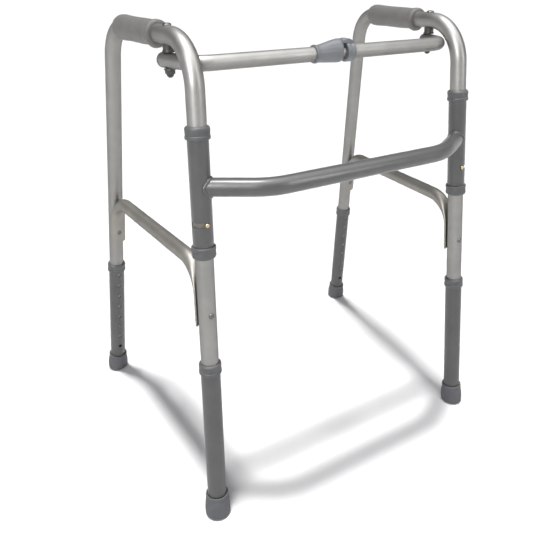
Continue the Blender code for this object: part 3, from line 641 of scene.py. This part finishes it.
def pivot(prefix, body, place, along):
    """Bolt head on the top tube; spacer, washer, hexagon and cap nut under the bar."""
    drop = TOP_HEIGHT - BAR_HEIGHT
    top = TUBE_RADIUS
    bolt, hole = 2.9 * MM, 3.1 * MM
    outline = ((6.0, -1.6), (6.0, 0.9), (5.4, 1.9), (3.4, 2.7), (1.7, 3.0), (1.55, 1.6), (0, 1.5))
    head = turned([(r * MM, top + z * MM) for r, z in outline], 32, soft=0.35 * MM)
    shank = turned([(0, -drop - 20 * MM), (bolt, -drop - 20 * MM), (bolt, top), (0, top)], 20, soft=0)
    add(f"{prefix}_bolt_shank", shank, STEEL, body, f"{prefix}_pivot_bolt", matrix=place)
    add(f"{prefix}_bolt_head", head, STEEL, body, matrix=place)
    bar_top, bar_bottom = BAR_RADIUS - drop + 0.3 * MM, -BAR_RADIUS - drop - 0.3 * MM
    saddle_low = 4 * MM - TUBE_RADIUS
    outline = [
        (hole, bar_top), (8.6 * MM, bar_top), (8.9 * MM, bar_top + 1 * MM), (7.6 * MM, bar_top + 3 * MM),
        (7.8 * MM, -10 * MM), (9.2 * MM, saddle_low), (hole, saddle_low),
    ]
    spacer = add(f"{prefix}_spacer_moulding", turned(outline, 32, loop=True), DARK, body,
                 f"{prefix}_pivot_spacer", matrix=place)
    carve(spacer, peg(-along * 30 * MM, along, TUBE_RADIUS + 0.1 * MM, 60 * MM, 48), place)
    under = bar_bottom - 1.5 * MM
    outline = [(hole, bar_bottom), (8.2 * MM, bar_bottom), (8.2 * MM, under), (hole, under)]
    washer = turned(outline, 36, loop=True, soft=0.3 * MM)
    add(f"{prefix}_washer_ring", washer, STEEL, body, f"{prefix}_pivot_washer", matrix=place)
    nut_top = bar_bottom - 1.7 * MM
    hexagon = bmesh.new()
    skin(hexagon, [
        [Vector((x, y, nut_top - below * MM)) for x, y in circle(r * MM, 6)]
        for r, below in ((6.4, 0), (7.1, 0.5), (7.1, 4.9), (6.2, 5.6))
    ])
    nut = add(f"{prefix}_hexagon", hexagon, DARK, body, f"{prefix}_pivot_nut", matrix=place)
    soften(nut, 0.3 * MM)
    outline = ((0, 10.6), (1.9, 10.3), (3.9, 8.9), (4.9, 6.9), (5.2, 5.0), (0, 5.0))
    dome = turned([(r * MM, nut_top - below * MM) for r, below in outline], 28, soft=0.4 * MM)
    add(f"{prefix}_nut_dome", dome, DARK, body, matrix=place)


def build_side(side, prefix):
    """One side frame with all that hangs on it. Gives back its front leg's frame."""
    body = f"{prefix}_side"
    front_foot, front_corner, rear_corner, rear_foot = side_lines(side)
    back = rear_corner - front_corner
    front = leg_matrix(front_foot, front_corner - front_foot, back)
    rear = leg_matrix(rear_foot, rear_corner - rear_foot, back)
    up, down = (front_corner - front_foot).normalized(), (rear_foot - rear_corner).normalized()
    corners = [front_foot + up * TUBE_END, front_corner, rear_corner, rear_foot - down * TUBE_END]
    route = Route(corners, [FRONT_BEND, REAR_BEND])
    flat = front.to_3x3() @ Vector((1, 0, 0))
    mesh = tube(route, 0, route.length, flat, TUBE_RADIUS, TUBE_RADIUS - TUBE_WALL)
    shell = add(f"{prefix}_side_tube", mesh, SILVER, body, f"{prefix}_frame_tube")
    height = HOLE_TOP - BUTTON_HOLE * HOLE_PITCH
    for facing, z, matrix in ((1, height, front), (-1, height, rear), (-1, LOCK_HEIGHT, front)):
        carve(shell, peg((0, facing * CUT_START, z), (0, facing, 0), STUD_HOLE, CUT_LENGTH), matrix)

    turn = up.angle(back)
    top_start = route.marks[2] - FRONT_BEND * math.tan(turn / 2)
    grip(f"{prefix}_grip", body, route, top_start + GRIP_START, flat)
    side_brace(f"{prefix}_side_brace", body, front, rear)
    rivet_head(f"{prefix}_front_rivet_dome", body, front, -TUBE_RADIUS + 0.1 * MM, -1)
    rivet_head(f"{prefix}_rear_rivet_dome", body, rear, -BRACE_STANDOFF - BAND_THICKNESS / 2 + 0.1 * MM, -1)
    rivet_head(f"{prefix}_rear_rivet_back", body, rear, TUBE_RADIUS - 0.1 * MM, 1)
    dress(f"{prefix}_front_brace_rivet", STEEL)
    dress(f"{prefix}_rear_brace_rivet", STEEL)

    # The fold lock: a dark band of painted shade round the tube, seen through the sleeve's slot where the
    # silver tube lies in shade, and the stud that stands in the slot.
    inner, outer = TUBE_RADIUS + 0.03 * MM, SLEEVE_BORE - 0.04 * MM
    low, high = LOCK_HEIGHT - SLOT_SHADE_HALF_HEIGHT, LOCK_HEIGHT + SLOT_SHADE_HALF_HEIGHT
    mesh = turned([(inner, low), (outer, low), (outer, high), (inner, high)], loop=True, soft=0)
    band = add(f"{prefix}_wear_band", mesh, SLOT_PAINTED_SHADE, body, matrix=front)
    carve(band, peg((0, -CUT_START, LOCK_HEIGHT), (0, -1, 0), SLOT_SHADE_HOLE, CUT_LENGTH), front)
    reach, radius = SLEEVE_RADIUS + 2.0 * MM, STUD_RADIUS
    stud = [
        (radius, 0), (radius, reach - 8.9 * MM), (radius * 0.85, reach - 8.3 * MM),
        (radius * 0.45, reach - 8.0 * MM), (0, reach - 7.95 * MM),
    ]
    place = front @ Matrix.Translation((0, -8 * MM, LOCK_HEIGHT)) @ Matrix.Rotation(math.pi / 2, 4, "X")
    mesh = turned(stud, 24, soft=0.3 * MM)
    add(f"{prefix}_lock_stud", mesh, BRASS, f"{prefix}_lock_button", matrix=place)
    dress(f"{prefix}_lock_button", STEEL)

    along = back.normalized()
    bolt = front_corner + along * BOLT_SETBACK
    pivot(prefix, body, Matrix.Translation(bolt), along)
    leg(f"{prefix}_front", front, 1)
    leg(f"{prefix}_rear", rear, -1)
    return front


def slot_cutter(side):
    """A curved bar that cuts a sleeve's slot."""
    mesh = bmesh.new()
    count = 26
    rings = []
    low, high = LOCK_HEIGHT - SLOT_HALF_HEIGHT, LOCK_HEIGHT + SLOT_HALF_HEIGHT
    for i in range(count + 1):
        angle = SLOT_START + (SLOT_END - SLOT_START) * i / count
        out = Vector((side * math.sin(angle), -math.cos(angle), 0))
        near, far = out * (SLEEVE_BORE - 2 * MM), out * (SLEEVE_RADIUS + 3 * MM)
        lower, upper = Vector((0, 0, low)), Vector((0, 0, high))
        rings.append([near + lower, far + lower, far + upper, near + upper])
    skin(mesh, rings)
    return mesh


def weld(name, axis, start, direction):
    """A bead of weld round the brace's section, where the brace runs into a sleeve's surface."""
    up = axis.to_3x3() @ Vector((0, 0, 1))
    direction = direction.normalized()
    side_way = direction.cross(up).normalized()
    upright = side_way.cross(direction).normalized()
    count = 96
    path = []
    for i in range(count):
        angle = 2 * math.pi * i / count
        spoke = side_way * math.cos(angle) + upright * math.sin(angle)
        # Along this line of the brace's surface, the point at the sleeve's radius.
        base = start + spoke * TUBE_RADIUS
        offset = base - axis.translation
        across = offset - up * offset.dot(up)
        run = direction - up * direction.dot(up)
        a, b = run.dot(run), 2 * across.dot(run)
        c = across.dot(across) - (SLEEVE_RADIUS + 0.2 * MM) ** 2
        root = max(0.0, b * b - 4 * a * c)
        path.append((base + direction * ((-b + math.sqrt(root)) / (2 * a)), spoke))
    mesh = bmesh.new()
    rings = []
    for i, (point, spoke) in enumerate(path):
        along = (path[(i + 1) % count][0] - path[i - 1][0]).normalized()
        out = (spoke + direction * 0.8).normalized()
        out = (out - along * out.dot(along)).normalized()
        over = along.cross(out)
        # The bead's size ripples, as the torch was moved on in small steps.
        size = (2.1 + 0.13 * math.sin(i * 2 * math.pi / 6) + 0.07 * math.sin(i * 1.7)) * MM
        rings.append([point + out * (size * math.cos(t)) + over * (size * 1.15 * math.sin(t))
                      for t in (2 * math.pi * k / 12 for k in range(12))])
    skin(mesh, rings, loop=True)
    add(name, mesh, BRACE_GREY, "front_brace", angle=60)


def build_brace(axes):
    """The front brace: two slotted sleeves with their collars, and the bow welded between them."""
    body = "front_brace"
    ends = []
    low, high = SLEEVE_SPAN
    lip = 0.35 * MM
    profile = [
        (SLEEVE_RADIUS, low), (SLEEVE_RADIUS, high - lip), (SLEEVE_RADIUS - lip, high), (SLEEVE_BORE, high),
        (SLEEVE_BORE, low),
    ]
    for side, prefix in ((-1, "left"), (1, "right")):
        axis = axes[prefix]
        mesh = turned(profile, 64, loop=True, soft=0)
        name = f"{prefix}_sleeve"
        shell = add(f"{name}_shell", mesh, BRACE_GREY, body, name, matrix=axis)
        carve(shell, slot_cutter(side), axis)
        for end, bottom in (("lower", LOWER_SLEEVE_COLLAR), ("upper", UPPER_SLEEVE_COLLAR)):
            collar(f"{prefix}_{end}_sleeve_collar", SLEEVE_COLLAR_RADIUS, bottom, end == "lower", body, axis)
        front_foot, front_corner, _, _ = side_lines(side)
        ends.append(front_foot.lerp(front_corner, BOW_HEIGHT / TOP_HEIGHT))
    bends = [Vector((side * BOW_HALF_STRAIGHT, -BOW_FORWARD, BOW_HEIGHT)) for side in (-1, 1)]
    route = Route([ends[0], bends[0], bends[1], ends[1]], [BOW_BEND, BOW_BEND])
    start, up = 3 * MM, Vector((0, 0, 1))
    mesh = tube(route, start, route.length - start, up, TUBE_RADIUS, TUBE_RADIUS - TUBE_WALL, step=FINE / 2)
    shell = add("front_brace_bow", mesh, BRACE_GREY, body, "front_brace_tube")
    for prefix in ("left", "right"):
        saddle = peg((0, 0, BOW_HEIGHT - 40 * MM), up, SLEEVE_RADIUS + 0.05 * MM, 80 * MM, 64)
        carve(shell, saddle, axes[prefix])
    weld("left_weld_bead", axes["left"], ends[0], bends[0] - ends[0])
    weld("right_weld_bead", axes["right"], ends[1], bends[1] - ends[1])


def build_bar():
    """The upper bar: two tube halves with end caps, the lock sleeve and the hinge."""
    up = Vector((0, 0, 1))
    bore = BAR_RADIUS - BAR_WALL
    reach = BAR_BEND * math.tan(BAR_TURN / 2)
    cap = [
        (bore - 0.4 * MM, -4 * MM), (bore - 0.1 * MM, 0), (BAR_RADIUS, 0), (BAR_RADIUS + 0.1 * MM, 1.2 * MM),
        (BAR_RADIUS - 0.5 * MM, 3.4 * MM), (BAR_RADIUS - 2.2 * MM, 5.4 * MM), (5.4 * MM, 6.5 * MM),
        (2.6 * MM, 6.95 * MM), (0, 7 * MM),
    ]
    for side, prefix, start in ((-1, "left", LEFT_BAR_TIP), (1, "right", RIGHT_BAR_TIP)):
        tip_end = Vector((start, -BAR_FORWARD, BAR_HEIGHT))
        corner = Vector((side * (BAR_HALF_STRAIGHT + reach), -BAR_FORWARD, BAR_HEIGHT))
        arm = Vector((side * math.cos(BAR_TURN), math.sin(BAR_TURN), 0))
        route = Route([tip_end, corner, corner + arm * (reach + BAR_TAIL)], [BAR_BEND])
        body = f"{prefix}_bar"
        mesh = tube(route, 0, route.length, up, BAR_RADIUS, bore, step=math.radians(3))
        add(f"{prefix}_bar_shell", mesh, SILVER, body, f"{prefix}_bar_tube")
        end, along = route.at(route.length)
        place = Matrix.Translation(end) @ up.rotation_difference(along).to_matrix().to_4x4()
        mesh = turned(cap, 36, soft=0.6 * MM)
        add(f"{prefix}_cap_moulding", mesh, COLLAR, body, f"{prefix}_bar_cap", matrix=place)
    centre = Matrix.Translation((0, -BAR_FORWARD, BAR_HEIGHT))
    to_x = Matrix.Rotation(math.pi / 2, 4, "Y")
    lock_sleeve(centre, to_x)
    hinge(centre, to_x)


def lock_sleeve(centre, to_x):
    """The sliding sleeve: a small lip to pull on, then a fluted cone whose top rises to the hump's height."""
    # Radius, distance along the bar, and how far the top rises, in millimetres.
    profile = [
        (10.75, -37.0, 0), (12.0, -37.0, 0), (12.9, -36.5, 0), (13.3, -35.2, 0), (13.1, -33.4, 0),
        (12.5, -31.5, 0.1), (12.3, -29.5, 0.3), (12.5, -26.0, 0.7), (13.0, -18.0, 1.9), (13.5, -10.0, 3.4),
        (14.0, -2.0, 4.7), (14.3, 4.6, 5.4), (14.2, 6.6, 5.4), (13.7, 7.6, 5.2), (12.9, 8.0, 4.9),
        (10.75, 8.0, 4.6), (10.75, 2.0, 3.0), (10.75, -8.0, 0),
    ]
    sides, flutes, flute_depth = 96, 16, 0.3
    fluted_from, fluted_to = -27.5, 4.0
    mesh = bmesh.new()
    rings = []
    for radius, x, lift in profile:
        flute = flute_depth if fluted_from <= x <= fluted_to and radius > 11 else 0.0
        ring = []
        for i in range(sides):
            angle = 2 * math.pi * (i + 0.5) / sides
            top = max(0.0, -math.cos(angle)) ** 1.6
            r = (radius + lift * top - flute * (0.5 + 0.5 * math.cos(angle * flutes)) ** 3) * MM
            ring.append(Vector((r * math.cos(angle), r * math.sin(angle), x * MM)))
        rings.append(ring)
    skin(mesh, rings, loop=True)
    add("lock_sleeve_moulding", mesh, SLIDER, "lock_sleeve", "lock_sleeve", angle=40,
        matrix=centre @ to_x)


def hinge(centre, to_x):
    """The right half's knuckle with its hump, the barrel and pin, and the left half's two cheeks."""
    body = "right_bar"
    along_bar = centre @ to_x

    # The ring, as radius and distance along the bar, then the hump on its top, as distance and height.
    ring = [
        (9.3, 16.5), (13.4, 16.5), (14.3, 17.2), (14.7, 18.6), (14.7, 20.4), (14.25, 21.2), (14.25, 26.2),
        (14.7, 27.0), (14.7, 29.0), (14.2, 30.4), (13.2, 31.0), (10.6, 31.0), (10.6, 18.3), (9.3, 18.3),
    ]
    mesh = turned([(r * MM, x * MM) for r, x in ring], 64, loop=True, soft=0.35 * MM)
    knuckle = add("knuckle_moulding", mesh, SLIDER, body, "hinge_knuckle", matrix=along_bar)
    side = [
        (8.5, 13.4), (8.4, 15.4), (8.9, 17.0), (10.4, 18.4), (13.0, 19.3), (17.0, 19.8), (21.0, 19.5),
        (24.5, 18.5), (27.4, 16.6), (29.4, 13.8), (29.4, 11.8), (17.1, 11.8), (17.1, 13.3), (15.0, 13.2),
    ]
    widths = [(-8.0, 0.80), (-7.0, 0.93), (-5.0, 1.0), (5.0, 1.0), (7.0, 0.93), (8.0, 0.80)]
    base = 13.3
    hump = bmesh.new()
    skin(hump, [
        [Vector((x * MM, y * MM, (base + (z - base) * share if z > base else z) * MM)) for x, z in side]
        for y, share in widths
    ])
    carve(knuckle, hump, centre, "UNION")

    # The barrel, with a flat for each cheek, and the pin through both.
    stub = [(0, 8.3), (8.1, 8.3), (8.8, 8.9), (9.0, 9.6), (9.0, 18.4), (8.8, 18.7), (8.8, 27.0), (0, 27.0)]
    mesh = turned([(r * MM, x * MM) for r, x in stub], 48, soft=0.3 * MM)
    barrel = add("barrel_stub", mesh, SILVER, body, "hinge_barrel", matrix=along_bar)
    pin_foot, pin_cut = (HINGE_X, 0, -20 * MM), 40 * MM
    carve(barrel, peg(pin_foot, (0, 0, 1), BARREL_PIN_HOLE, pin_cut, 24), centre)
    flat_end, flat_side, flat_depth = 17 * MM, 20 * MM, 12.85 * MM
    square = [(0, -flat_side), (flat_end, -flat_side), (flat_end, flat_side), (0, flat_side)]
    for low in (BARREL_FLAT, -BARREL_FLAT - flat_depth):
        flat = bmesh.new()
        skin(flat, [[Vector((x, y, z)) for x, y in square] for z in (low, low + flat_depth)])
        carve(barrel, flat, centre)
    pin = [
        (0, -10.5), (3.3, -10.3), (3.3, -9.5), (2.3, -9.4), (2.3, 9.4), (3.6, 9.6), (3.75, 10.6), (3.5, 11.9),
        (2.5, 12.7), (0, 12.9),
    ]
    mesh = turned([(r * MM, z * MM) for r, z in pin], 28, soft=0.25 * MM)
    place = centre @ Matrix.Translation((HINGE_X, 0, 0))
    add("hinge_pin_rivet", mesh, STEEL, body, "hinge_pin", matrix=place)

    # The cheeks: two plates with a round end at the pin.
    back = LEFT_BAR_TIP - CHEEK_OVERLAP
    outline = [(back, -CHEEK_HALF_WIDTH)]
    for k in range(13):
        angle = -math.pi / 2 + math.pi * k / 12
        x = HINGE_X + 4.1 * MM * math.cos(angle) - 0.3 * MM
        outline.append((x, CHEEK_HALF_WIDTH * math.sin(angle)))
    outline.append((back, CHEEK_HALF_WIDTH))
    for name, z in (("upper_cheek", 7.3), ("lower_cheek", -9.0)):
        plate = bmesh.new()
        skin(plate, [[Vector((x, y, h * MM)) for x, y in outline] for h in (z, z + CHEEK_THICKNESS)])
        made = add(f"hinge_{name}", plate, STEEL, "left_bar", matrix=centre)
        carve(made, peg(pin_foot, (0, 0, 1), CHEEK_PIN_HOLE, pin_cut, 24), centre)


front_legs = {name: build_side(sign, name) for sign, name in ((-1, "left"), (1, "right"))}
build_brace(front_legs)
build_bar()


# --- floor, light and camera -------------------------------------------------------------------------


def make_floor():
    """A wide white floor, just under the soles."""
    mesh = bmesh.new()
    bmesh.ops.create_grid(mesh, x_segments=8, y_segments=8, size=30)
    floor = add("floor", mesh, None, None, matrix=Matrix.Translation((0, 0, -0.3 * MM)))
    n = Nodes("floor_white")
    n.link(n.blend(n.noise(2, 2), (0.90, 0.90, 0.90), (0.92, 0.92, 0.92)), n.shader.inputs["Base Color"])
    n.shader.inputs["Roughness"].default_value = 0.6
    n.shader.inputs["Specular IOR Level"].default_value = 0.15
    floor.data.materials.append(n.material)


def make_light(name, place, aim, size, power, gloss_only=False):
    """A soft box. One that is gloss only shows in reflections, and lights nothing else."""
    data = bpy.data.lights.new(name, "AREA")
    data.shape = "RECTANGLE"
    data.size, data.size_y = size
    data.energy = power
    lamp = bpy.data.objects.new(name, data)
    bpy.context.scene.collection.objects.link(lamp)
    lamp.location = place
    lamp.rotation_euler = (Vector(aim) - Vector(place)).to_track_quat("-Z", "Y").to_euler()
    lamp.visible_diffuse = not gloss_only


def make_sun(name, towards, power, angle):
    data = bpy.data.lights.new(name, "SUN")
    data.energy = power
    data.angle = math.radians(angle)
    lamp = bpy.data.objects.new(name, data)
    bpy.context.scene.collection.objects.link(lamp)
    lamp.rotation_euler = Vector(towards).to_track_quat("-Z", "Y").to_euler()


def make_world():
    """White at the horizon, so that the tubes' edges stay light, and grey above, so that shadows show."""
    world = bpy.data.worlds.new("studio")
    bpy.context.scene.world = world
    world.use_nodes = True
    tree = world.node_tree
    back = tree.nodes["Background"]
    place = tree.nodes.new("ShaderNodeTexCoord")
    split = tree.nodes.new("ShaderNodeSeparateXYZ")
    ramp = tree.nodes.new("ShaderNodeValToRGB")
    tree.links.new(place.outputs["Generated"], split.inputs["Vector"])
    tree.links.new(split.outputs["Z"], ramp.inputs["Fac"])
    horizon, above = ramp.color_ramp.elements
    horizon.position, horizon.color = 0.03, (0.95, 0.95, 0.95, 1)
    above.position, above.color = 0.28, (0.21, 0.21, 0.22, 1)
    tree.links.new(ramp.outputs["Color"], back.inputs["Color"])
    back.inputs["Strength"].default_value = 1.0


def make_camera():
    """The main camera."""
    data = bpy.data.cameras.new("camera")
    camera = bpy.data.objects.new("camera", data)
    bpy.context.scene.collection.objects.link(camera)
    yaw, pitch, roll = CAMERA_YAW, CAMERA_PITCH, CAMERA_ROLL
    ahead = Vector((math.sin(yaw) * math.cos(pitch), math.cos(yaw) * math.cos(pitch), -math.sin(pitch)))
    right = Vector((math.cos(yaw), -math.sin(yaw), 0))
    above = right.cross(ahead)
    turned_right = right * math.cos(roll) + above * math.sin(roll)
    turned_up = above * math.cos(roll) - right * math.sin(roll)
    rotation = Matrix((turned_right, turned_up, -ahead)).transposed().to_4x4()
    camera.matrix_world = Matrix.Translation(CAMERA_PLACE) @ rotation
    data.sensor_width = CAMERA_SENSOR
    data.lens = CAMERA_LENS
    data.shift_y = CAMERA_SHIFT
    data.clip_start, data.clip_end = 0.01, 100
    bpy.context.scene.camera = camera


make_floor()
make_world()
make_sun("overhead", (0.04, -0.03, -1.0), 3.15, 5.0)
make_light("key", (-1.6, -2.0, 2.0), (0, 0, 0.45), (1.2, 1.6), 14)
make_light("left_strip", (-1.7, -1.2, 1.6), (0, 0, 0.6), (0.7, 1.3), 48, gloss_only=True)
make_light("right_strip", (1.2, -2.2, 1.5), (0, 0, 0.5), (0.3, 1.5), 20, gloss_only=True)
make_light("top_box", (0.1, -0.5, 2.5), (0, 0, 0.7), (3.0, 2.4), 62, gloss_only=True)
make_camera()
bpy.context.scene.view_settings.view_transform = "Standard"
